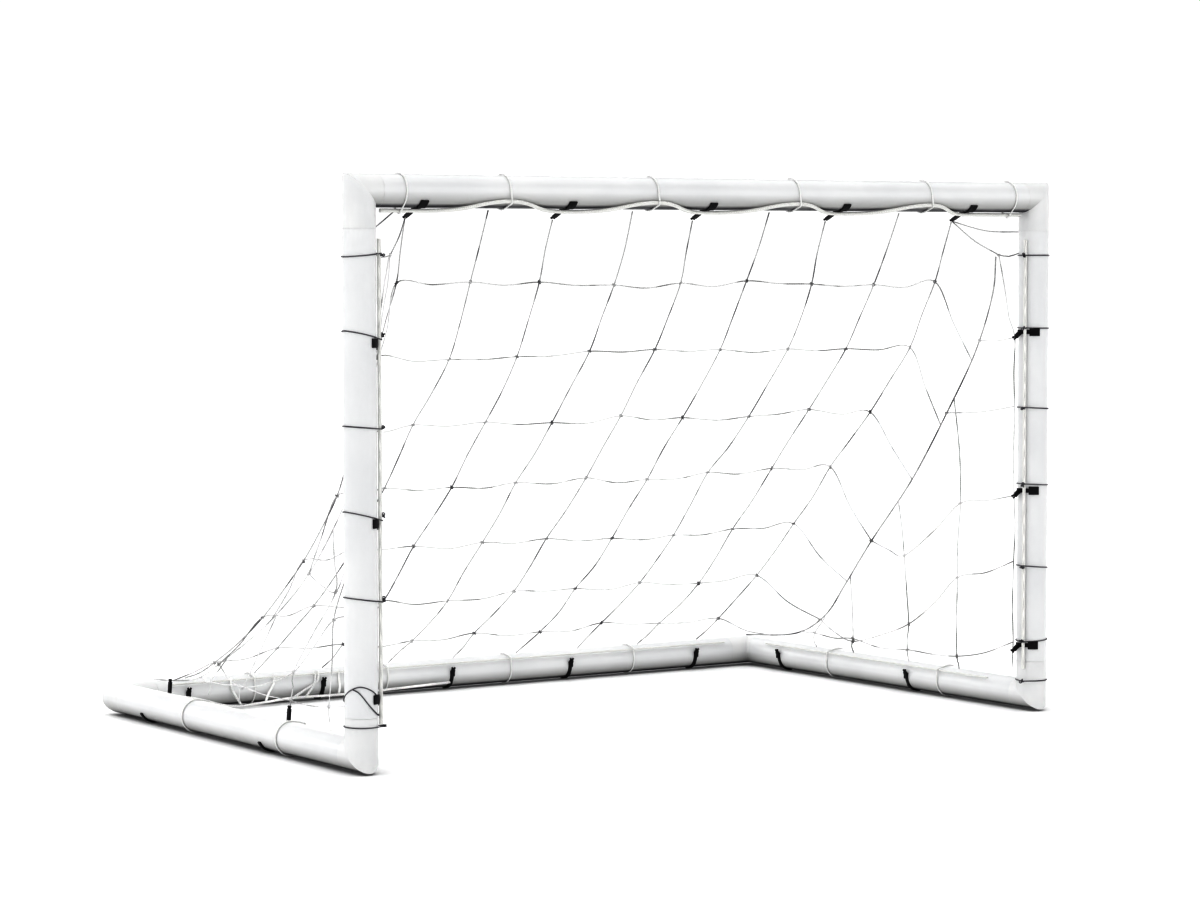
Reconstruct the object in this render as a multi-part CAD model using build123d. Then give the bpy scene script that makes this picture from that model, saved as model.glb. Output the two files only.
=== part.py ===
"""Youth soccer goal: click-together 68 mm tube frame with a laced square-mesh net.

X runs across the goal, Y from the mouth (-) to the back (+), Z up from the ground.
All lengths are in millimetres.
"""
import math
import os

from build123d import *

# Overall size
WIDTH = 1830.0
HEIGHT = 1200.0
DEPTH = 1160.0

# Tube
TUBE_R = 34.0
WALL = 3.0
BORE_R = TUBE_R - WALL
END_GAP = 0.3

# Corner elbow: long arm takes the click joint, short arm is bonded
ARM_LONG = 76.0
ARM_SHORT = 40.0
SPIGOT_LENGTH = 50.0
SPIGOT_R = BORE_R - 0.2
SPIGOT_BORE_R = SPIGOT_R - WALL

# Lock button
BUTTON_R = 4.8
BUTTON_HOLE_R = 5.2
BUTTON_STAND_OUT = 3.0
BUTTON_INSET = 25.0
COLLAR_R = 7.5
COLLAR_TOP = 26.3
COLLAR_THICKNESS = 2.0

# Tube centre lines
SIDE_X = WIDTH / 2 - TUBE_R
FRONT_Y = TUBE_R - DEPTH / 2
BACK_Y = DEPTH / 2 - TUBE_R
TOP_Z = HEIGHT - TUBE_R
GROUND_Z = TUBE_R

# Net
TWINE = 3.6
SEAM_GAP = 2.3
ROPE_R = 4.0
EDGE_CORD_R = 2.0
TIE_R = 1.7
CORD_GAP = 0.4
HEADER_HALF = 835.0
BACK_CORD_HALF = 780.0
SIDE_CORD_FROM = 120.0
SIDE_CORD_TO = 980.0
MESH_X = 178.4
FIRST_COLUMN_X = -745.0
COLUMNS = [FIRST_COLUMN_X + MESH_X * i for i in range(9)]
ROWS_BACK = [981.0, 830.0, 537.0, 388.0, 150.0]
ROWS_SIDE = [862.0, 692.0, 501.0, 339.0, 163.0]
COLUMNS_SIDE_Y = [262.0, 455.0, 640.0, 815.0]

# Net outlines as (distance behind the mouth, height)
BACK_PROFILE = [(58.7, 1106.4), (346.0, 674.0), (786.0, 257.0), (1048.0, 72.0)]
# Net corner seams as (distance in from the post line, distance behind the mouth, height)
SEAM_PROFILE = [(52.0, 30.0, 1070.0), (113.0, 167.0, 670.0), (98.0, 560.0, 252.0), (52.0, 1036.0, 75.0)]
POST_EDGE = (52.0, 30.0)
POST_HEIGHTS = [1070.0, 500.0, 94.7]
BAR_EDGE = (44.0, 74.0)
BAR_MIDDLE_Y = 500.0

# Ropes and border cords run this far from a tube's centre line.  Angles go round the tube
# from +Y towards +Z, for a tube along X
CORD_PATH_R = 40.0
HEADER_LOW = -95.0
HEADER_HIGH = -150.0
POST_ROPE_AT = -112.0
BAR_CORD_AT = -50.0

# Clips
CLIP_WIDTH = 9.0
CLIP_PAD_WIDTH = 18.0
CLIP_PAD = 3.0
CLIP_BRIDGE = 1.6
CLIP_ROOT = 6.0
CLIP_ARM = 5.0
PRONG_R = 2.2
PRONG_LENGTH = 9.0
PRONG_SPREAD = 0.5
BAR_CLIP_AT = -110.0
CLIP_PAD_SPAN = 36.0
BAR_PAD_SPAN = 60.0
LEFT_BAR_PAD_SPAN = 120.0
CROSSBAR_CLIP_TIP = (0.0, 46.0, -50.0)
POST_CLIP_TIP = (12.0, 6.0, -47.0)
BAR_CLIP_TIP = (0.0, 11.0, -40.0)
LEFT_BAR_CLIP_TIP = (0.0, 50.0, -40.0)
CROSSBAR_CLIPS_X = COLUMNS[::2]
BACK_CLIPS_X = [-732.0, -380.0, -27.0, 312.0, 688.0]
POST_CLIPS_Z = [862.0, 501.0, 148.0]
LEFT_CLIPS_Y = [375.0, 930.0]
RIGHT_CLIPS_Y = [410.0, 920.0]

# Cord ties round the tubes
CROSSBAR_RAISED_X = [-545.0, -180.0, 190.0, 555.0]
CROSSBAR_END_TIES_X = [-790.0, 800.0]
POST_TIES_Z = [1036.0, 877.0, 692.0, 516.0, 339.0, 163.0]
SIDE_TIES_Y = [296.0, 723.0]
BACK_TIES_X = [-560.0, -205.0, 140.0, 500.0]


def rod(start, direction, radius, length):
    """A round bar from a point along a direction."""
    return Plane(origin=start, z_dir=direction) * Cylinder(
        radius, length, align=(Align.CENTER, Align.CENTER, Align.MIN))


def tube(start, direction, length):
    """A plain hollow tube, open at both ends."""
    return rod(start, direction, TUBE_R, length) - rod(start, direction, BORE_R, length)


def mitred(corner, arms, radius, extra=0.0):
    """Two round bars meeting on a 45 degree mitre at a corner."""
    (dir_a, len_a), (dir_b, len_b) = arms
    bars = []
    for along, other, length in ((dir_a, dir_b, len_a), (dir_b, dir_a, len_b)):
        start = Vector(*corner) - Vector(*along) * radius
        bar = rod(start, along, radius, radius + length + extra)
        mitre = Plane(origin=corner, z_dir=Vector(*along) - Vector(*other))
        bars.append(split(bar, bisect_by=mitre, keep=Keep.TOP))
    return bars[0] + bars[1]


def elbow(corner, long_dir, short_dir):
    """A hollow mitred corner with a spigot on each arm and a button hole in the long one."""
    arms = ((long_dir, ARM_LONG), (short_dir, ARM_SHORT))
    shell = mitred(corner, arms, TUBE_R)
    spigots = mitred(corner, arms, SPIGOT_R, SPIGOT_LENGTH)
    hollow = mitred(corner, arms, SPIGOT_BORE_R, SPIGOT_LENGTH + 1)
    hole = rod(button_seat(corner, long_dir), (0, 1, 0), BUTTON_HOLE_R, TUBE_R * 2)
    return shell + spigots - hollow - hole


def button_seat(corner, long_dir):
    """Point on the tube centre line behind which a lock button sits."""
    return Vector(*corner) + Vector(*long_dir) * (ARM_LONG + BUTTON_INSET)


def lock_button(corner, long_dir):
    """A domed push button with an inner collar; it faces the back of the goal."""
    seat = button_seat(corner, long_dir)
    collar = rod(seat + Vector(0, COLLAR_TOP - COLLAR_THICKNESS, 0), (0, 1, 0),
                 COLLAR_R, COLLAR_THICKNESS)
    stem_length = TUBE_R + BUTTON_STAND_OUT - COLLAR_TOP
    stem = rod(seat + Vector(0, COLLAR_TOP, 0), (0, 1, 0), BUTTON_R, stem_length)
    rim = stem.edges().sort_by(Axis.Y)[-1]
    return collar + fillet(rim, BUTTON_STAND_OUT * 0.7)


def drilled(part, seats):
    """A tube with a lock button hole at each seat."""
    for seat in seats:
        part -= rod(seat, (0, 1, 0), BUTTON_HOLE_R, TUBE_R * 2)
    return part


def round_tube(radius, angle, x=0.0):
    """Point at an angle round a tube along X."""
    turn = math.radians(angle)
    return Vector(x, radius * math.cos(turn), radius * math.sin(turn))


def band(first, last, thickness, width):
    """Strip of even thickness lying on a tube along X, between two angles round it."""
    start = (-width / 2, 0, 0)
    ring = rod(start, (1, 0, 0), TUBE_R + thickness, width) - rod(start, (1, 0, 0), TUBE_R, width)
    outline = [round_tube(TUBE_R * 2, angle) for angle in (first, (first + last) / 2, last)]
    return ring & extrude(Face(Wire.make_polygon([Vector(0, 0, 0), *outline])), width, both=True)


def clip(rope_at, tip, pad_span, pad_width):
    """Net clip on a tube along X: a strap that passes under the rope, an arm and a forked end."""
    pad = band(rope_at - 15 - pad_span, rope_at - 15, CLIP_PAD, pad_width)
    bridge = band(rope_at - 17, rope_at + 17, CLIP_BRIDGE, CLIP_WIDTH)
    root = band(rope_at + 13, rope_at + 33, CLIP_ROOT, CLIP_WIDTH)
    start = round_tube(TUBE_R + CLIP_ARM / 2, rope_at + 23)
    reach = Vector(*tip) - start
    arm = Plane(origin=start, x_dir=(1, 0, -reach.X / reach.Z), z_dir=reach) * Box(
        CLIP_WIDTH, CLIP_ARM, reach.length, align=(Align.CENTER, Align.CENTER, Align.MIN))
    body = pad + bridge + root + arm
    ahead = reach.normalized()
    for sideways in (-PRONG_SPREAD, PRONG_SPREAD):
        body += rod(Vector(*tip) - ahead * PRONG_R, ahead + Vector(sideways, 0, 0), PRONG_R, PRONG_LENGTH)
    return body - rod((-CLIP_PAD_WIDTH, 0, 0), (1, 0, 0), TUBE_R, CLIP_PAD_WIDTH * 2)


def tie(cord_at, held_radius):
    """Cord loop round a tube along X and round the rope or border cord beside it."""
    big = TUBE_R + TIE_R + CORD_GAP
    small = held_radius + TIE_R + CORD_GAP
    lean = math.acos((big - small) / CORD_PATH_R)
    aim = math.radians(cord_at)

    def point(radius, angle, centre=0.0):
        """Point on one of the two circles in the YZ plane."""
        return (0,
                centre * math.cos(aim) + radius * math.cos(aim + angle),
                centre * math.sin(aim) + radius * math.sin(aim + angle))

    path = Wire([
        ThreePointArc(point(big, lean), point(big, math.pi), point(big, -lean)),
        Line(point(big, -lean), point(small, -lean, CORD_PATH_R)),
        ThreePointArc(point(small, -lean, CORD_PATH_R), point(small, 0, CORD_PATH_R),
                      point(small, lean, CORD_PATH_R)),
        Line(point(small, lean, CORD_PATH_R), point(big, lean)),
    ])
    start = Plane(origin=path.position_at(0), z_dir=path.tangent_at(0))
    return sweep(start * Circle(TIE_R), path=path)


def along(item, places):
    """Copies of one item at each place, as a group of solids."""
    return Compound(children=[place * item for place in places])


def on_crossbar(x):
    """Place an item made for a tube along X on the crossbar."""
    return Pos(x, FRONT_Y, TOP_Z)


def on_back_bar(x):
    """Place an item on the front of the back bar, leaning up."""
    return Pos(x, BACK_Y, GROUND_Z) * Rot(-90, 0, 0) * Rot(0, 0, 180)


def on_post(z, side):
    """Place an item on a post, leaning back and in."""
    return Pos(side * SIDE_X, FRONT_Y, z) * Rot(0, side * 90, 0)


def on_side_bar(y, side):
    """Place an item on the inner face of a side bar, leaning up."""
    turn = Rot(0, 0, -side * 90) * Rot(-90, 0, 0) * Rot(0, 0, 180)
    return Pos(side * SIDE_X, FRONT_Y + y, GROUND_Z) * turn


def edge_cord(cord_at, radius, start, end):
    """Straight border cord beside a tube along X, between two stations."""
    return rod(round_tube(CORD_PATH_R, cord_at, start), (end - start, 0, 0), radius, abs(end - start))


def header_rope():
    """Rope along the crossbar: under it at the clips, drawn up its front face by the ties between."""
    stations = [(x, HEADER_LOW) for x in (-HEADER_HALF, *CROSSBAR_CLIPS_X, HEADER_HALF)]
    stations = sorted(stations + [(x, HEADER_HIGH) for x in CROSSBAR_RAISED_X])
    level = (1, 0, 0)
    spans = []
    for (x_a, at_a), (x_b, at_b) in zip(stations, stations[1:]):
        ends = [round_tube(CORD_PATH_R, at_a, x_a), round_tube(CORD_PATH_R, at_b, x_b)]
        if at_a == at_b:
            spans.append(Line(*ends))
        else:
            middle = round_tube(CORD_PATH_R, (at_a + at_b) / 2, (x_a + x_b) / 2)
            spans.append(Spline(ends[0], middle, ends[1], tangents=[level, level]))
    start = Plane(origin=round_tube(CORD_PATH_R, HEADER_LOW, -HEADER_HALF), z_dir=level)
    return Pos(0, FRONT_Y, TOP_Z) * sweep(start * Circle(ROPE_R), path=Wire(spans))


def facet(corners, rows=(), columns_x=(), columns_y=()):
    """Flat piece of net: a border plus strands at the given heights and stations."""
    outline = Face(Wire.make_polygon([Vector(*c) for c in corners]))
    centre = outline.center()
    sheet = extrude(offset(outline, -SEAM_GAP), TWINE / 2, both=True)
    middle = extrude(offset(outline, -SEAM_GAP - TWINE), TWINE, both=True)
    pieces = [sheet - middle]
    size = max(WIDTH, DEPTH) * 2
    for z in rows:
        pieces.append(sheet & (Pos(centre.X, centre.Y, z) * Box(size, size, TWINE)))
    for x in columns_x:
        pieces.append(sheet & (Pos(x, centre.Y, centre.Z) * Box(TWINE, size, size)))
    for y in columns_y:
        pieces.append(sheet & (Pos(centre.X, y, centre.Z) * Box(size, TWINE, size)))
    solid = pieces[0]
    for piece in pieces[1:]:
        if piece is not None and piece.volume > 0:
            solid += piece
    return solid


def behind(profile_point, x):
    """Point of the back net outline at a station across the goal."""
    y, z = profile_point
    return (x, FRONT_Y + y, z)


def seam(profile_point, side):
    """Point of the corner seam on one side."""
    inset, y, z = profile_point
    return (side * (SIDE_X - inset), FRONT_Y + y, z)


def net_back():
    """Back net: three flat bands of square mesh from the crossbar to the back bar."""
    bands = []
    for upper, lower in zip(BACK_PROFILE, BACK_PROFILE[1:]):
        left, right = COLUMNS[0], COLUMNS[-1]
        corners = [behind(upper, left), behind(upper, right), behind(lower, right), behind(lower, left)]
        bands.append(facet(corners, rows=ROWS_BACK, columns_x=COLUMNS[1:-1]))
    return Compound(children=bands)


def net_side(side, edge_x):
    """Side net with the corner strip that joins it to the back net."""
    cells = []
    levels = list(zip(BACK_PROFILE, SEAM_PROFILE))
    for (upper, upper_seam), (lower, lower_seam) in zip(levels, levels[1:]):
        a, b = behind(upper, edge_x), behind(lower, edge_x)
        c, d = seam(upper_seam, side), seam(lower_seam, side)
        cells.append(facet([a, b, c], rows=ROWS_BACK))
        cells.append(facet([c, b, d], rows=ROWS_BACK))
    post_x, post_y = side * (SIDE_X - POST_EDGE[0]), FRONT_Y + POST_EDGE[1]
    top, waist, foot = [(post_x, post_y, z) for z in POST_HEIGHTS]
    bar = (side * (SIDE_X - BAR_EDGE[0]), FRONT_Y + BAR_MIDDLE_Y, BAR_EDGE[1])
    middle, lower, end = [seam(p, side) for p in SEAM_PROFILE[1:]]
    stations = [FRONT_Y + y for y in COLUMNS_SIDE_Y]
    for corners in ([top, middle, waist], [waist, middle, lower], [waist, lower, foot],
                    [foot, lower, bar], [bar, lower, end]):
        cells.append(facet(corners, rows=ROWS_SIDE, columns_y=stations))
    return Compound(children=cells)


def side_name(side):
    """Left and right as seen from in front of the mouth."""
    return "left" if side < 0 else "right"


def frame_nodes():
    """Tubes, elbows and lock buttons."""
    nodes = {}
    half_short = SIDE_X - ARM_SHORT - END_GAP
    half_long = SIDE_X - ARM_LONG - END_GAP
    nodes["crossbar"] = tube((-half_short, FRONT_Y, TOP_Z), (1, 0, 0), half_short * 2)
    back_corners = [((s * SIDE_X, BACK_Y, GROUND_Z), (-s, 0, 0)) for s in (-1, 1)]
    back_bar = tube((-half_long, BACK_Y, GROUND_Z), (1, 0, 0), half_long * 2)
    nodes["back_bar"] = drilled(back_bar, [button_seat(*c) for c in back_corners])
    for s in (-1, 1):
        name = side_name(s)
        top = (s * SIDE_X, FRONT_Y, TOP_Z)
        front = (s * SIDE_X, FRONT_Y, GROUND_Z)
        back = (s * SIDE_X, BACK_Y, GROUND_Z)
        corners = {
            f"{name}_top": (top, (0, 0, -1), (-s, 0, 0)),
            f"{name}_front": (front, (0, 0, 1), (0, 1, 0)),
            f"{name}_back": (back, (-s, 0, 0), (0, -1, 0)),
        }
        for place, (corner, long_dir, short_dir) in corners.items():
            nodes[f"{place}_elbow"] = elbow(corner, long_dir, short_dir)
            nodes[f"{place}_lock_button"] = lock_button(corner, long_dir)
        post_length = TOP_Z - GROUND_Z - 2 * (ARM_LONG + END_GAP)
        post = tube((s * SIDE_X, FRONT_Y, GROUND_Z + ARM_LONG + END_GAP), (0, 0, 1), post_length)
        seats = [button_seat(top, (0, 0, -1)), button_seat(front, (0, 0, 1))]
        nodes[f"{name}_post"] = drilled(post, seats)
        bar_length = BACK_Y - FRONT_Y - 2 * (ARM_SHORT + END_GAP)
        nodes[f"{name}_side_bar"] = tube(
            (s * SIDE_X, FRONT_Y + ARM_SHORT + END_GAP, GROUND_Z), (0, 1, 0), bar_length)
    return nodes


def clip_nodes():
    """Black net clips, one group on each tube."""
    header_clip = clip(HEADER_LOW, CROSSBAR_CLIP_TIP, CLIP_PAD_SPAN, CLIP_PAD_WIDTH)
    bar_clip = clip(BAR_CLIP_AT, BAR_CLIP_TIP, BAR_PAD_SPAN, CLIP_WIDTH)
    nodes = {
        "crossbar_clips": along(header_clip, [on_crossbar(x) for x in CROSSBAR_CLIPS_X]),
        "back_bar_clips": along(bar_clip, [on_back_bar(x) for x in BACK_CLIPS_X]),
    }
    for s in (-1, 1):
        fall, back, inward = POST_CLIP_TIP
        post_clip = clip(POST_ROPE_AT, (s * fall, back, inward), CLIP_PAD_SPAN, CLIP_PAD_WIDTH)
        nodes[f"{side_name(s)}_post_clips"] = along(post_clip, [on_post(z, s) for z in POST_CLIPS_Z])
    left_clip = clip(BAR_CLIP_AT, LEFT_BAR_CLIP_TIP, LEFT_BAR_PAD_SPAN, CLIP_WIDTH)
    nodes["left_side_bar_clips"] = along(left_clip, [on_side_bar(y, -1) for y in LEFT_CLIPS_Y])
    nodes["right_side_bar_clips"] = along(bar_clip, [on_side_bar(y, 1) for y in RIGHT_CLIPS_Y])
    return nodes


def cord_nodes():
    """Header rope, border cords of the net and the ties that hold them to the tubes."""
    raised_tie, end_tie = tie(HEADER_HIGH, ROPE_R), tie(HEADER_LOW, ROPE_R)
    crossbar_ties = [on_crossbar(x) * raised_tie for x in CROSSBAR_RAISED_X]
    crossbar_ties += [on_crossbar(x) * end_tie for x in CROSSBAR_END_TIES_X]
    post_tie, bar_tie = tie(POST_ROPE_AT, ROPE_R), tie(BAR_CORD_AT, EDGE_CORD_R)
    back_cord = edge_cord(BAR_CORD_AT, EDGE_CORD_R, -BACK_CORD_HALF, BACK_CORD_HALF)
    nodes = {
        "header_rope": header_rope(),
        "crossbar_ties": Compound(children=crossbar_ties),
        "back_edge_cord": on_back_bar(0) * back_cord,
        "back_bar_ties": along(bar_tie, [on_back_bar(x) for x in BACK_TIES_X]),
    }
    for s in (-1, 1):
        name = side_name(s)
        nodes[f"{name}_post_edge_cord"] = on_post(0, s) * edge_cord(
            POST_ROPE_AT, ROPE_R, -s * POST_HEIGHTS[-1], -s * POST_HEIGHTS[0])
        nodes[f"{name}_post_ties"] = along(post_tie, [on_post(z, s) for z in POST_TIES_Z])
        nodes[f"{name}_side_edge_cord"] = on_side_bar(0, s) * edge_cord(
            BAR_CORD_AT, EDGE_CORD_R, s * SIDE_CORD_FROM, s * SIDE_CORD_TO)
        nodes[f"{name}_side_bar_ties"] = along(bar_tie, [on_side_bar(y, s) for y in SIDE_TIES_Y])
    return nodes


def net_nodes():
    """The three panels of the net."""
    return {
        "net_back": net_back(),
        "net_left": net_side(-1, COLUMNS[0]),
        "net_right": net_side(1, COLUMNS[-1]),
    }


# The ground bars rest on the cord ties that pass under them
lift = Pos(0, 0, 2 * TIE_R + CORD_GAP)
os.makedirs("parts", exist_ok=True)
for node, shape in {**frame_nodes(), **clip_nodes(), **cord_nodes(), **net_nodes()}.items():
    export_step(lift * shape, f"parts/{node}.step")
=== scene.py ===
"""Looks of the youth soccer goal: tube plastic, black clips, ropes and a knotted twine net."""
import math

import bpy
import numpy as np
from mathutils import Matrix, Vector


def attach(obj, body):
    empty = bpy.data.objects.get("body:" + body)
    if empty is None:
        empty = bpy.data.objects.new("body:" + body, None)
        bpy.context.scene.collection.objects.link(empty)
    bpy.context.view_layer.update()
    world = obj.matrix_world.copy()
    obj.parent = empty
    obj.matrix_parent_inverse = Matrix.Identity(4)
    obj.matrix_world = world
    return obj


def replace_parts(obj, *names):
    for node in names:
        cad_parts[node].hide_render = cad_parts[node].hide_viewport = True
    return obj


ROOT = "goal_frame"
TUBE_R = 0.034
SIDE_X = 0.881            # centre line of each post, out from the middle
FRONT_Y = -0.546          # centre line of the posts and the crossbar
BACK_Y = 0.546            # centre line of the back bar
LIFT = 0.0038             # cord under the ground bars
TOP_Z = 1.166 + LIFT      # crossbar centre line
CLIP_TIP = (0.050, 0.054)         # forked end of a crossbar clip: back, down from the centre line
POST_ROPE = (0.037, -0.015)       # post rope from the post's centre line: in, back
POST_ROPE_R = 0.004
LACE_KNOT = (0.043, -0.017)       # knots of the lacing, beside the rope
POST_EDGE = (0.049, 0.006)        # where the side net meets a post: in, back
BAR_EDGE = (0.043, 0.077)         # where it meets a side bar: in from the centre line, height
CORNER_BAR_X = 0.792      # left corner cord on the crossbar, out from the middle
CORNER_POST_Z = 1.092     # corner cords at the top of the posts

TWINE_R = 0.0012
SEAM_R = 0.0015
LACE_R = 0.0011
KNOT_R = 0.0042
LACE_KNOT_R = 0.0055
HEM_R = 0.0030
BACK_KNOT_SHIFT = 0.007   # how far a knot may sit from its even place
SIDE_KNOT_SHIFT = 0.006
MESH_X = 0.1784
COLUMNS = [-0.745 + MESH_X * i for i in range(9)]

# Back net at mid-width, row by row: distance behind the mouth, height
BACK_ROWS = [(0.052, 1.114), (0.092, 0.980), (0.190, 0.830), (0.330, 0.679), (0.470, 0.537),
             (0.620, 0.389), (0.770, 0.254), (0.940, 0.144), (1.046, 0.079)]
NET_LEAN = 0.045          # the left columns hang nearer the mouth than the right ones
SEAM_PULL = 0.7           # how far the leftmost column is drawn towards the left seam
PULL_ROWS = 3             # rows over which that pull sets in
# Corner seams: distance in from the post line, behind the mouth, height
SEAM = [(0.086, 0.030, 1.036), (0.080, 0.048, 0.950), (0.090, 0.095, 0.820), (0.114, 0.168, 0.677),
        (0.122, 0.284, 0.518), (0.122, 0.436, 0.364), (0.096, 0.570, 0.249), (0.058, 0.700, 0.160),
        (0.050, 0.830, 0.104), (0.052, 1.034, 0.082)]
SEAM_LOWER = 0.960        # below this height a seam runs steadily back
# Heights at which the seven middle rows of the back net meet the seams
SEAM_KNOTS = [0.800, 0.650, 0.515, 0.364, 0.260, 0.150, 0.090]
# Side net rows: height at the post, and where each one meets the seam (behind the mouth)
SIDE_ROWS = [(0.853, 0.085), (0.696, 0.170), (0.493, 0.440), (0.343, 0.720), (0.158, 0.800)]
SIDE_COLUMNS = [0.205, 0.392, 0.605, 0.752]
SIDE_FLOOR = 0.077        # lower edge of the side net
SIDE_CLEAR = 0.03         # side knots stay this far above that edge
SEAM_CLEAR = 0.04         # and this far from the seam
COLUMN_LEAD = 0.06        # how much nearer the mouth a side column is at the seam than at the bar
COLUMN_LEAN = 1.1         # how far it leans that way for each metre that the net curves in
ROW_FALL_AT = 0.93        # side rows drop away this far behind the mouth, as a share of their height
ROW_FALL_POWER = 3.4
# Knots of the net's top corners: in from the post line, behind the mouth, height
CORNER_KNOT = (0.084, 0.022, 1.040)
EDGE_START = (0.066, 0.016, 0.940)        # the net's front edge on its way from there to the post
EDGE_END = 0.100                          # height at which that edge ends on the post
# Ties on the posts: height, and how far one falls from the left of the post to the right
LEFT_LACES = [(1.0408, -0.006), (0.882, 0.016), (0.697, 0.006), (0.520, 0.017), (0.352, 0.010),
              (0.096, 0.001)]
RIGHT_LACES = [(1.039, 0.000), (0.874, 0.001), (0.692, 0.004), (0.518, 0.004), (0.330, 0.006),
               (0.162, -0.004), (0.070, 0.0)]
# Loose crossed turns at the foot of the left post: degrees round the post, height
FOOT_TURNS = [[(-235, 0.140), (-205, 0.153), (-160, 0.171), (-120, 0.179), (-75, 0.168), (-30, 0.146),
               (0, 0.130)],
              [(-150, 0.174), (-125, 0.166), (-90, 0.140), (-60, 0.124), (-30, 0.118), (0, 0.122)]]
# Slack lower border at the left of the back net: its course, and where each cord that drops to it
# in front of the back bar starts and ends, from side to side
HEM = [(-0.842, 0.395, 0.060), (-0.790, 0.440, 0.046), (-0.728, 0.470, 0.032), (-0.636, 0.478, 0.008),
       (-0.545, 0.488, 0.010), (-0.470, 0.494, 0.014), (-0.345, 0.500, 0.012), (-0.220, 0.502, 0.014),
       (-0.040, 0.500, 0.020)]
HEM_DROPS = [(-0.622, -0.612), (-0.512, -0.545), (-0.395, -0.470), (-0.402, -0.430), (-0.338, -0.343)]
# Course of such a cord over the back bar: in front of the bar's centre line, height
DROP_START = (0.028, 0.069)
DROP_FRONT = (0.036, 0.048)
DROP_LOW = (0.044, 0.030)

# Sky brightness, and the heights at which it changes: 0 is level with the eye, 1 overhead
SKY_HORIZON = 1.06        # sky low down, behind the goal
SKY_BAND = 2.25           # bright band above it
SKY_HIGH = 0.50           # sky overhead
BAND_RISES = (0.12, 0.16)
BAND_FADES = (0.30, 0.40)
SUN_POWER = 1.95
SUN_WIDTH = 100           # degrees across, for very soft shadows
SUN_TILT = (-8, -6, 0)    # degrees
DISPLAY_GAMMA = 0.45
FLOOR_REACH = 60.0
EYE = (-4.323, -6.577, 1.0386)
EYE_TILT = (86.80, 0.065, -33.68)         # degrees
EYE_LENS = 104.1          # millimetres, as is the sensor's width
EYE_SENSOR = 36.0

UNDERSIDE_SHADE = (0.42, 0.42, 0.41)         # painted shade on the tubes' undersides
LOWEST_LINE_SHADOW = (0.04, 0.04, 0.05)        # painted dark shadow along their lowest line
RANGE_SOCKETS = ("From Min", "From Max", "To Min", "To Max")


# ---------------------------------------------------------------- mesh helpers

def smooth_line(points, step=0.012):
    """Points along a Catmull-Rom curve through the given points."""
    p = np.array(points, float)
    p = np.vstack([2 * p[0] - p[1], p, 2 * p[-1] - p[-2]])
    line = []
    for a, b, c, d in zip(p, p[1:], p[2:], p[3:]):
        count = max(2, int(np.linalg.norm(c - b) / step))
        t = np.linspace(0, 1, count, endpoint=False)[:, None]
        line.append(0.5 * (2 * b + (c - a) * t + (2 * a - 5 * b + 4 * c - d) * t ** 2
                           + (3 * b - a - 3 * c + d) * t ** 3))
    line.append(p[-2][None, :])
    return np.vstack(line)


def tube_rings(line, radius, sides, closed):
    """Rings of points round a line, and the distance of each ring along it."""
    ahead = np.roll(line, -1, 0) - line
    tangents = ahead + (line - np.roll(line, 1, 0))
    if not closed:
        tangents[0] = line[1] - line[0]
        tangents[-1] = line[-1] - line[-2]
    tangents /= np.linalg.norm(tangents, axis=1)[:, None]
    normal = np.cross(tangents[0], (0.31, 0.17, 0.93))
    rings = []
    for point, tangent in zip(line, tangents):
        normal = normal - tangent * normal.dot(tangent)
        normal /= np.linalg.norm(normal)
        other = np.cross(tangent, normal)
        angles = np.linspace(0, 2 * math.pi, sides, endpoint=False)[:, None]
        rings.append(point + radius * (np.cos(angles) * normal + np.sin(angles) * other))
    steps = np.linalg.norm(np.diff(line, axis=0), axis=1)
    return np.array(rings), np.concatenate([[0], np.cumsum(steps)])


def tube_surface(line, radius, sides, closed):
    """Vertices, faces and UVs of a tube along a line; UV is round, along in metres."""
    rings, along = tube_rings(np.array(line, float), radius, sides, closed)
    count = len(rings)
    faces, uvs = [], []
    for ring in range(count if closed else count - 1):
        here, there = ring * sides, (ring + 1) % count * sides
        start = along[ring]
        end = along[ring + 1] if ring + 1 < count else start + (along[1] - along[0])
        for side in range(sides):
            after = (side + 1) % sides
            faces.append((here + side, here + after, there + after, there + side))
            left, right = side / sides, (side + 1) / sides
            uvs += [(left, start), (right, start), (right, end), (left, end)]
    if not closed:
        faces.append(tuple(reversed(range(sides))))
        faces.append(tuple((count - 1) * sides + side for side in range(sides)))
        uvs += [(0.5, along[0])] * sides + [(0.5, along[-1])] * sides
    return rings.reshape(-1, 3), faces, uvs


def add_tubes(name, lines, radius, material, sides=8, closed=False):
    """One mesh piece made of a round tube along every line."""
    verts, faces, uvs = [], [], []
    for line in lines:
        base = len(verts)
        tube_verts, tube_faces, tube_uvs = tube_surface(line, radius, sides, closed)
        verts.extend(tube_verts)
        faces += [tuple(base + corner for corner in face) for face in tube_faces]
        uvs += tube_uvs
    mesh = bpy.data.meshes.new(name)
    mesh.from_pydata([tuple(v) for v in verts], [], faces)
    layer = mesh.uv_layers.new(name="UVMap")
    layer.data.foreach_set("uv", np.array(uvs, np.float32).ravel())
    mesh.polygons.foreach_set("use_smooth", [True] * len(mesh.polygons))
    mesh.materials.append(material)
    mesh.update()
    piece = bpy.data.objects.new(name, mesh)
    bpy.context.scene.collection.objects.link(piece)
    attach(piece, ROOT)
    return piece


# ---------------------------------------------------------------- materials

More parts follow.
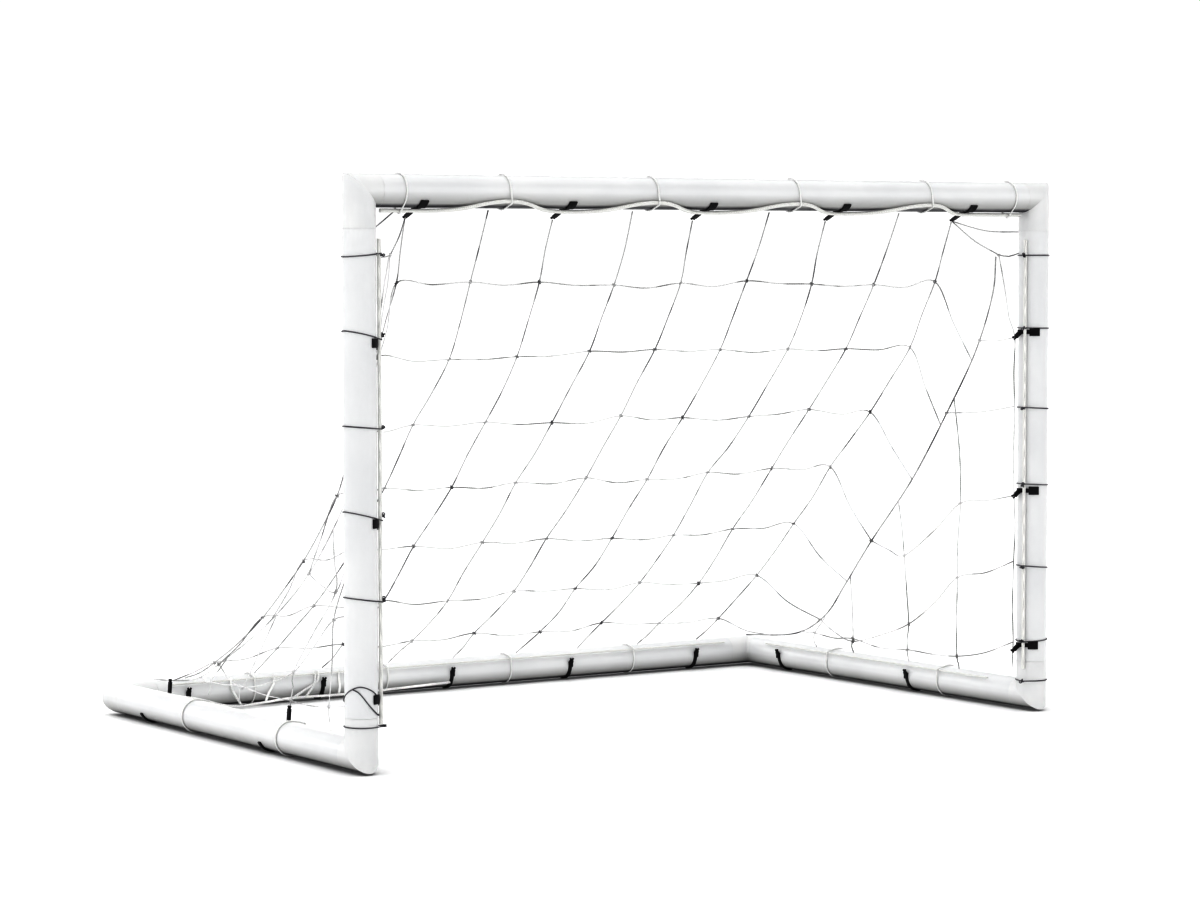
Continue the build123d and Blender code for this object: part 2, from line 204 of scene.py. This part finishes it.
class Nodes:
    """Small helper that builds one node material."""

    def __init__(self, name, roughness, metallic=0.0):
        self.material = bpy.data.materials.new(name)
        self.material.use_nodes = True
        self.tree = self.material.node_tree
        self.shader = self.tree.nodes["Principled BSDF"]
        self.shader.inputs["Roughness"].default_value = roughness
        self.shader.inputs["Metallic"].default_value = metallic

    def add(self, kind, links=(), **values):
        """A node with its settings; names with a capital are input sockets."""
        node = self.tree.nodes.new(kind)
        for key, value in values.items():
            socket = node.inputs.get(key.replace("_", " "))
            if key[0].isupper() and socket is not None:
                socket.default_value = value
            else:
                setattr(node, key, value)
        for socket, source in links:
            self.tree.links.new(source, node.inputs[socket])
        return node

    def link(self, source, socket):
        """Feeds an output into a socket of the material's shader."""
        self.tree.links.new(source, self.shader.inputs[socket])

    def place(self, scale=(1, 1, 1), uv=False):
        """Object or UV coordinates, stretched."""
        where = self.add("ShaderNodeTexCoord").outputs["UV" if uv else "Object"]
        mapping = self.add("ShaderNodeMapping", [("Vector", where)])
        mapping.inputs["Scale"].default_value = scale
        return mapping.outputs["Vector"]

    def noise(self, vector, scale, detail=4.0):
        """Even mottling, finer with a higher scale."""
        node = self.add("ShaderNodeTexNoise", [("Vector", vector)], Scale=scale, Detail=detail)
        return node.outputs["Fac"]

    def spread(self, value, low, high, to_low=0.0, to_high=1.0):
        """Value remapped from one range to another."""
        node = self.add("ShaderNodeMapRange", [("Value", value)])
        for socket, number in zip(RANGE_SOCKETS, (low, high, to_low, to_high)):
            node.inputs[socket].default_value = number
        return node.outputs["Result"]

    def blend(self, factor, first, second):
        """Colour between two colours; the first can also be a node's output."""
        node = self.add("ShaderNodeMix", data_type="RGBA")
        self.tree.links.new(factor, node.inputs["Factor"])
        if isinstance(first, tuple):
            node.inputs["A"].default_value = (*first, 1)
        else:
            self.tree.links.new(first, node.inputs["A"])
        node.inputs["B"].default_value = (*second, 1)
        return node.outputs["Result"]

    def underside(self, low, high):
        """0 on faces that look up or sideways, rising to 1 on faces that look down."""
        normal = self.add("ShaderNodeNewGeometry").outputs["Normal"]
        height = self.add("ShaderNodeSeparateXYZ", [("Vector", normal)]).outputs["Z"]
        return self.spread(height, low, high)

    def combine(self, operation, first, second):
        """Two values put together by a maths operation."""
        return self.add("ShaderNodeMath", [(0, first), (1, second)], operation=operation).outputs[0]

    def bump(self, heights, distance):
        """Bumps from one or more heights, added together."""
        total = heights[0]
        for height in heights[1:]:
            total = self.combine("ADD", total, height)
        node = self.add("ShaderNodeBump", [("Height", total)], Distance=distance, Strength=0.6)
        self.link(node.outputs["Normal"], "Normal")


def white_plastic(m, tone_scale, light, dark):
    """White colour with painted shade: it greys towards its underside, and a painted dark shadow line
    runs along the bottom.
    """
    tone = m.spread(m.noise(m.place(), tone_scale), 0.35, 0.65)
    patchy = m.spread(m.noise(m.place((1, 1, 3)), 16.0, 6.0), 0.25, 0.60, 0.75, 1.0)
    # Painted shade: the colour greys on faces that look down.
    underside_shaded = m.blend(m.underside(-0.05, -0.90), m.blend(tone, dark, light), UNDERSIDE_SHADE)
    # Painted shadow: a broken dark line along the lowest faces.
    lowest_line_shadow_mask = m.combine("MULTIPLY", m.underside(-0.75, -0.90), patchy)
    m.link(m.blend(lowest_line_shadow_mask, underside_shaded, LOWEST_LINE_SHADOW), "Base Color")


def tube_plastic():
    """Extruded white uPVC: faint draw lines, soft gloss and light ground scuffs."""
    m = Nodes("upvc_tube", 0.34)
    white_plastic(m, 5.0, (0.775, 0.777, 0.778), (0.735, 0.738, 0.742))
    scuff = m.spread(m.noise(m.place((18, 18, 60)), 3.0, 8.0), 0.62, 0.72)
    m.link(m.spread(scuff, 0.0, 1.0, 0.30, 0.46), "Roughness")
    m.shader.inputs["Coat Weight"].default_value = 0.15
    m.bump([m.noise(m.place(), 140.0), m.noise(m.place(), 22.0)], 0.0003)
    return m.material


def elbow_plastic():
    """Moulded white uPVC: slightly warmer and finer grained than the tube."""
    m = Nodes("upvc_elbow", 0.38)
    white_plastic(m, 14.0, (0.768, 0.768, 0.766), (0.735, 0.737, 0.738))
    m.link(m.spread(m.noise(m.place(), 60.0), 0.3, 0.7, 0.33, 0.45), "Roughness")
    m.bump([m.noise(m.place(), 420.0), m.noise(m.place(), 35.0)], 0.0003)
    return m.material


def button_steel():
    """Bright spring steel with fine turning marks."""
    m = Nodes("button_steel", 0.28, 1.0)
    where = m.place((1, 60, 1))
    tone = m.spread(m.noise(where, 30.0), 0.3, 0.7)
    m.link(m.blend(tone, (0.50, 0.50, 0.51), (0.66, 0.66, 0.67)), "Base Color")
    m.link(m.spread(m.noise(where, 90.0), 0.3, 0.7, 0.22, 0.40), "Roughness")
    m.bump([m.noise(where, 220.0)], 0.0001)
    return m.material


def clip_plastic():
    """Matt black moulded nylon with a fine grain and a faint random grey mottle."""
    m = Nodes("clip_nylon", 0.48)
    where = m.place()
    tone = m.spread(m.noise(where, 45.0, 6.0), 0.35, 0.75)
    m.link(m.blend(tone, (0.010, 0.010, 0.012), (0.034, 0.034, 0.038)), "Base Color")
    m.link(m.spread(m.noise(where, 160.0), 0.3, 0.7, 0.40, 0.60), "Roughness")
    m.bump([m.noise(where, 900.0), m.noise(where, 120.0)], 0.0002)
    return m.material


def braid(name, pitch, light, dark):
    """White braid for the cords that come from CAD: crossed diagonal strands in object space, darker
    between them as painted shade in the grooves.
    """
    m = Nodes(name, 0.75)
    where = m.place()
    strands = []
    for turn in (0.7, -0.7):
        mapping = m.add("ShaderNodeMapping", [("Vector", where)])
        mapping.inputs["Rotation"].default_value = (turn, turn, turn)
        wave = m.add("ShaderNodeTexWave", [("Vector", mapping.outputs["Vector"])],
                     Scale=pitch, Distortion=0.6, wave_profile="SIN")
        strands.append(wave.outputs["Fac"])
    woven = m.combine("MAXIMUM", *strands)
    # Between the crossed strands the colour falls to the darker one, as painted shade in the grooves.
    m.link(m.blend(woven, dark, light), "Base Color")
    m.shader.inputs["Sheen Weight"].default_value = 0.3
    m.bump([woven, m.noise(where, 900.0)], 0.0006)
    return m.material


def twisted(name, turns, light, dark):
    """Laid twine: diagonal strands along each cord, patchily darker, with the twist's grooves darker
    as painted shade.
    """
    m = Nodes(name, 0.7)
    where = m.place((1, turns, 1), uv=True)
    wave = m.add("ShaderNodeTexWave", [("Vector", where)], Scale=0.48, Distortion=0.4,
                 bands_direction="DIAGONAL")
    # Random darker patches, painted shade on the grey net twine and lacing.
    dark_patches = m.spread(m.noise(m.place(), 14.0, 6.0), 0.48, 0.60)
    # Within them the twist's grooves show darker, as painted shade.
    strand = m.combine("MULTIPLY", m.spread(wave.outputs["Fac"], 0.0, 1.0, 0.6, 1.0), dark_patches)
    m.link(m.blend(strand, light, dark), "Base Color")
    m.shader.inputs["Sheen Weight"].default_value = 0.25
    m.bump([wave.outputs["Fac"], m.noise(m.place(), 1200.0)], 0.0005)
    return m.material


def floor_paint():
    """Pale matt studio floor."""
    m = Nodes("studio_floor", 0.9)
    tone = m.spread(m.noise(m.place(), 1.2), 0.3, 0.7)
    m.link(m.blend(tone, (0.89, 0.89, 0.892), (0.91, 0.91, 0.91)), "Base Color")
    return m.material


# ---------------------------------------------------------------- the net

def row_point(row, x):
    """Knot of the back net on a row, at a column."""
    y, z = BACK_ROWS[row]
    ends_held = math.sin(math.pi * row / (len(BACK_ROWS) - 1))
    lean = NET_LEAN * ends_held * (x - COLUMNS[4]) / (COLUMNS[-1] - COLUMNS[0])
    return np.array((x, FRONT_Y + y + lean, z))


def column_top(column):
    """Where a column is held: in a clip's fork, or looped up under the crossbar between clips."""
    if column % 2 == 0:
        return row_point(0, COLUMNS[column])
    return np.array((COLUMNS[column] - 0.004, FRONT_Y + 0.012, TOP_Z - TUBE_R - 0.004))


def seam_line(side):
    """Corner seam on one side as a smooth line from the post top to the back corner."""
    return smooth_line([(side * (SIDE_X - inset), FRONT_Y + y, z) for inset, y, z in SEAM])


def seam_at(side, height):
    """Point of the seam at a height."""
    line = seam_line(side)
    return line[np.argmin(np.abs(line[:, 2] - height))]


def seam_behind(side, distance):
    """Point of the seam at a distance behind the mouth, on its lower run."""
    line = seam_line(side)
    lower = line[line[:, 2] < SEAM_LOWER]
    return lower[np.argmin(np.abs(lower[:, 1] - FRONT_Y - distance))]


def loose(points, random, sag, wander):
    """A strand through the knots, with a slack middle point between each pair."""
    slack = [points[0]]
    for a, b in zip(points, points[1:]):
        middle = (np.array(a) + np.array(b)) / 2
        drift = random.uniform(-wander, wander, 3)
        slack += [middle + drift - np.array((0, 0, sag * np.linalg.norm(np.array(b) - a))), b]
    return slack


def beside_post(side, inward, back, z):
    """Point beside a post."""
    return np.array((side * (SIDE_X - inward), FRONT_Y + back, z))


def post_edge(side, z):
    """Where the side net meets a post."""
    return beside_post(side, *POST_EDGE, z)


def bar_edge(side, y):
    """Where the side net meets a side bar."""
    return np.array((side * (SIDE_X - BAR_EDGE[0]), FRONT_Y + y, BAR_EDGE[1]))


def back_knots(random):
    """Knots of the back net, row by row below the crossbar; the last row is held by the back bar."""
    rows = []
    for row in range(1, len(BACK_ROWS)):
        knots = [row_point(row, x) for x in COLUMNS]
        if row < len(BACK_ROWS) - 1:
            knots = [knot + random.uniform(-BACK_KNOT_SHIFT, BACK_KNOT_SHIFT, 3) for knot in knots]
            pull = SEAM_PULL * min((row - 1) / PULL_ROWS, 1)
            knots[0] += pull * (seam_at(-1, BACK_ROWS[row][1]) - knots[0])
        rows.append(knots)
    return rows


def back_panel(random):
    """Upright strands, level strands and knots of the back net."""
    rows = back_knots(random)
    upright, level = [], []
    for column in range(len(COLUMNS)):
        below = [row[column] for row in rows]
        upright.append(loose([column_top(column), *below], random, sag=0.012, wander=0.003))
    for row, height in zip(rows, SEAM_KNOTS):
        left, right = [seam_at(side, height) for side in (-1, 1)]
        level.append(loose([left, *row, right], random, sag=0.035, wander=0.004))
    return upright, level, [knot for row in rows[:-1] for knot in row]


def side_row_height(post_height, distance):
    """Height of a side row as it falls away behind the post."""
    fall = 1 / (1 + (distance / (ROW_FALL_AT * post_height)) ** ROW_FALL_POWER)
    return SIDE_FLOOR + (post_height - SIDE_FLOOR) * fall


def side_knot(side, row_height, seam_distance, distance):
    """Knot of a side net; its columns lean forward as the net curves in towards the seam."""
    inward = SIDE_X - abs(seam_behind(side, seam_distance)[0]) - BAR_EDGE[0]
    inward *= distance / seam_distance
    z = max(side_row_height(row_height, distance), SIDE_FLOOR + SIDE_CLEAR)
    return beside_post(side, BAR_EDGE[0] + inward, distance - COLUMN_LEAN * inward, z)


def side_panel(side, random):
    """Upright strands, level strands and knots of one side net."""
    level, knots = [], []
    crossings = {distance: [] for distance in SIDE_COLUMNS}
    for height, end in SIDE_ROWS:
        row = []
        for distance in SIDE_COLUMNS:
            if distance < end - SEAM_CLEAR:
                shift = random.uniform(-SIDE_KNOT_SHIFT, SIDE_KNOT_SHIFT, 3)
                row.append(side_knot(side, height, end, distance) + shift)
                crossings[distance].append(row[-1])
        row.append(seam_behind(side, end))
        knots += row
        level.append(loose([post_edge(side, height), *row], random, sag=0.03, wander=0.003))
    upright = []
    for distance, crossed in crossings.items():
        top, foot = seam_behind(side, distance - COLUMN_LEAD), bar_edge(side, distance)
        upright.append(loose([top, *crossed, foot], random, sag=0, wander=0.004))
    edge = [beside_post(side, *place) for place in (CORNER_KNOT, EDGE_START)]
    edge += [post_edge(side, height) for height, _ in SIDE_ROWS] + [post_edge(side, EDGE_END)]
    upright.append(loose(edge, random, sag=0, wander=0.003))
    return upright, level, knots


def top_corner(side, random):
    """Cords that draw the net's top corner up to the crossbar and out to the post."""
    knot = beside_post(side, *CORNER_KNOT)
    clip_x = COLUMNS[0] if side < 0 else COLUMNS[-1]
    fork = np.array((clip_x, FRONT_Y + CLIP_TIP[0], TOP_Z - CLIP_TIP[1]))
    bar_end = np.array((side * CORNER_BAR_X, FRONT_Y + 0.004, TOP_Z - TUBE_R - 0.003))
    post_top = beside_post(side, TUBE_R + 0.003, 0.010, CORNER_POST_Z)
    post_tie = beside_post(side, TUBE_R + 0.002, 0.008, CORNER_KNOT[2] + 0.004)
    lines = [loose([fork, knot], random, sag=0.04, wander=0.003),
             loose([bar_end if side < 0 else fork, post_top], random, sag=0.05, wander=0.002),
             loose([knot, post_tie], random, sag=0.10, wander=0.001)]
    return lines, [knot]


def knot_lines(centres, random, size=KNOT_R):
    """A small overhand knot at each centre, turned at random."""
    t = np.linspace(0, 2 * math.pi, 20, endpoint=False)
    shape = np.stack([np.sin(t) + 2 * np.sin(2 * t), np.cos(t) - 2 * np.cos(2 * t), -np.sin(3 * t)], 1)
    lines = []
    for centre in centres:
        turn = Matrix.Rotation(random.uniform(0, 6.28), 3, Vector(random.uniform(-1, 1, 3)))
        lines.append(np.array(centre) + shape @ np.array(turn) * size / 3)
    return lines


def add_strands(name, strands, material):
    """One piece of net made of strands of twine."""
    return add_tubes(name, [smooth_line(s) for s in strands], TWINE_R, material)


def build_net(twine_darkest_shade, twine_mid_shade, seam_cord_dark_shade, twine_light_shade):
    """The whole net; its upright strands stand for the three CAD panels."""
    random = np.random.default_rng(7)
    upright, level, knots = back_panel(random)
    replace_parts(add_strands("net_back_uprights", upright, twine_darkest_shade), "net_back")
    add_strands("net_back_rows", level, twine_mid_shade)
    add_tubes("net_back_knots", knot_lines(knots, random), TWINE_R, twine_darkest_shade,
              closed=True)
    for side, word in ((-1, "left"), (1, "right")):
        upright, level, knots = side_panel(side, random)
        corner, corner_knots = top_corner(side, random)
        # The left side gets the palest painted-shade copy of the twine, the right side the mid one.
        side_twine, side_seam = (twine_light_shade, twine_light_shade) if side < 0 else (twine_mid_shade, seam_cord_dark_shade)
        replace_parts(add_strands(f"net_{word}_uprights", upright, side_twine), f"net_{word}")
        add_strands(f"net_{word}_rows", level, side_twine)
        add_strands(f"net_{word}_top_corner", corner, twine_darkest_shade)
        add_tubes(f"net_{word}_knots", knot_lines(knots + corner_knots, random), TWINE_R, side_twine,
                  closed=True)
        add_tubes(f"net_{word}_seam", [seam_line(side)], SEAM_R, side_seam)


# ---------------------------------------------------------------- lacing

def lace_loop(side, height, fall):
    """Closed cord loop drawn round a post and its rope, tilted a little."""
    line = []
    rope = np.array((-side * POST_ROPE[0], POST_ROPE[1]))
    for turn in np.linspace(0, 2 * math.pi, 72, endpoint=False):
        out = np.array((math.cos(turn), math.sin(turn)))
        round_post = out * (TUBE_R + LACE_R)
        round_rope = rope + out * (POST_ROPE_R + LACE_R)
        spot = round_post if round_post @ out >= round_rope @ out else round_rope
        z = height - fall * spot[0] / (2 * TUBE_R)
        line.append((side * SIDE_X + spot[0], FRONT_Y + spot[1], z))
    return line


def foot_turn(course):
    """Open turn of cord lying on the left post."""
    reach = TUBE_R + LACE_R
    points = []
    for degrees, z in course:
        angle = math.radians(degrees)
        points.append((-SIDE_X + reach * math.cos(angle), FRONT_Y + reach * math.sin(angle), z))
    return smooth_line(points, step=0.004)


def build_lacing(cord):
    """Tied cords on the posts, with their knots, in place of the plain CAD loops."""
    random = np.random.default_rng(11)
    for side, word, laces in ((-1, "left", LEFT_LACES), (1, "right", RIGHT_LACES)):
        loops = [lace_loop(side, height, fall) for height, fall in laces]
        piece = add_tubes(f"{word}_post_lacing", loops, LACE_R, cord, sides=10, closed=True)
        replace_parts(piece, f"{word}_post_ties")
        spots = [beside_post(side, *LACE_KNOT, height) for height, _ in laces]
        add_tubes(f"{word}_post_lacing_knots", knot_lines(spots, random, LACE_KNOT_R), LACE_R, cord,
                  closed=True)
    turns = [foot_turn(course) for course in FOOT_TURNS]
    add_tubes("left_post_foot_turns", turns, LACE_R, cord, sides=10)


def build_hem(cord):
    """Slack lower border at the left of the back net, with the cords that drop to it."""
    hem = smooth_line(HEM)
    lines = [hem]
    for top_x, low_x in HEM_DROPS:
        foot = hem[np.argmin(np.abs(hem[:, 0] - low_x))]
        course = [(x, BACK_Y - front, z) for x, (front, z) in
                  ((top_x + 0.004, DROP_START), (top_x, DROP_FRONT), ((top_x + low_x) / 2, DROP_LOW))]
        lines.append(smooth_line([*course, foot]))
    add_tubes("net_back_slack_hem", lines, HEM_R, cord)


# ---------------------------------------------------------------- studio

def stage_sheet(name, corners, material):
    """A flat stage surface."""
    mesh = bpy.data.meshes.new(name)
    mesh.from_pydata(corners, [], [(0, 1, 2, 3)])
    mesh.materials.append(material)
    sheet = bpy.data.objects.new(name, mesh)
    bpy.context.scene.collection.objects.link(sheet)


def build_sky(tree):
    """Even sky with a brighter band low down, above the horizon."""
    where = tree.nodes.new("ShaderNodeTexCoord")
    split = tree.nodes.new("ShaderNodeSeparateXYZ")
    tree.links.new(where.outputs["Generated"], split.inputs["Vector"])
    steps = []
    for (low, high), start, end in ((BAND_RISES, SKY_HORIZON, SKY_BAND),
                                    (BAND_FADES, 1.0, SKY_HIGH / SKY_BAND)):
        step = tree.nodes.new("ShaderNodeMapRange")
        step.interpolation_type = "SMOOTHSTEP"
        for socket, value in zip(RANGE_SOCKETS, (low, high, start, end)):
            step.inputs[socket].default_value = value
        tree.links.new(split.outputs["Z"], step.inputs["Value"])
        steps.append(step.outputs["Result"])
    both = tree.nodes.new("ShaderNodeMath")
    both.operation = "MULTIPLY"
    tree.links.new(steps[0], both.inputs[0])
    tree.links.new(steps[1], both.inputs[1])
    background = tree.nodes["Background"]
    tree.links.new(both.outputs["Value"], background.inputs["Strength"])
    background.inputs["Color"].default_value = (1.0, 1.0, 1.0, 1)


def build_studio():
    """Pale floor, bright even surroundings and a very soft light from above."""
    corners = [(x * FLOOR_REACH, y * FLOOR_REACH, 0) for x, y in ((-1, -1), (1, -1), (1, 1), (-1, 1))]
    stage_sheet("floor", corners, floor_paint())
    world = bpy.data.worlds.new("studio")
    world.use_nodes = True
    build_sky(world.node_tree)
    bpy.context.scene.world = world
    view = bpy.context.scene.view_settings
    view.view_transform = "Standard"
    view.gamma = DISPLAY_GAMMA
    above = bpy.data.lights.new("above", "SUN")
    above.energy = SUN_POWER
    above.angle = math.radians(SUN_WIDTH)
    lamp = bpy.data.objects.new("above", above)
    lamp.rotation_euler = [math.radians(angle) for angle in SUN_TILT]
    bpy.context.scene.collection.objects.link(lamp)


def build_camera():
    """Long lens from the left, just above the middle of the goal."""
    camera = bpy.data.cameras.new("camera")
    camera.lens = EYE_LENS
    camera.sensor_width = EYE_SENSOR
    eye = bpy.data.objects.new("camera", camera)
    eye.location = EYE
    eye.rotation_euler = [math.radians(angle) for angle in EYE_TILT]
    bpy.context.scene.collection.objects.link(eye)
    bpy.context.scene.camera = eye


def finish_frame(frame):
    """Gives every visible CAD node its material."""
    plastic, elbow, steel, nylon = tube_plastic(), elbow_plastic(), button_steel(), clip_plastic()
    rope = braid("border_rope_braid", 190.0, (0.88, 0.88, 0.86), (0.60, 0.60, 0.59))
    cord = braid("lacing_cord_braid", 330.0, (0.90, 0.90, 0.89), (0.78, 0.78, 0.78))
    for name, node in frame["nodes"].items():
        if name.endswith("_lock_button"):
            look = steel
        elif name.endswith("_elbow"):
            look = elbow
        elif name.endswith("_clips"):
            look = nylon
        elif name.endswith("_ties"):
            look = cord
        elif name.endswith("_rope") or name.endswith("_cord"):
            look = rope
        else:
            look = plastic
        for place in node.material_slots:
            place.material = look


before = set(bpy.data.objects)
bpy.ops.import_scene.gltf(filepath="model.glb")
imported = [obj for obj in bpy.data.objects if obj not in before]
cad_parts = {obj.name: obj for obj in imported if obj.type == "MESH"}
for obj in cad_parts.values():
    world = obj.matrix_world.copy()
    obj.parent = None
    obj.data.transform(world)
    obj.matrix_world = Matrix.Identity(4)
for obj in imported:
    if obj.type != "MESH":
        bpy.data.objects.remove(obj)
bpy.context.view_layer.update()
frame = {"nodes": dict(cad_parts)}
finish_frame(frame)
# The net's twine is white; these four greys are lit and shaded copies of it, painted shade: dark on
# the back uprights, knots, top corners and right seam, lighter on the back rows and right side, palest
# on the left side.
build_net(twisted("net_upright_painted_shade", 260.0, (0.58, 0.58, 0.58), (0.05, 0.05, 0.06)),
          twisted("net_row_painted_shade", 260.0, (0.72, 0.72, 0.72), (0.20, 0.20, 0.20)),
          twisted("net_seam_painted_shade", 200.0, (0.52, 0.52, 0.52), (0.04, 0.04, 0.05)),
          twisted("net_left_painted_shade", 260.0, (0.82, 0.82, 0.82), (0.40, 0.40, 0.40)))
# The lacing stands for white cord; its near-black colour is painted shade and shadow.
build_lacing(twisted("lacing_painted_shadow", 300.0, (0.16, 0.16, 0.17), (0.03, 0.03, 0.04)))
build_hem(twisted("hem_laid", 200.0, (0.90, 0.90, 0.89), (0.70, 0.70, 0.70)))
build_studio()
build_camera()
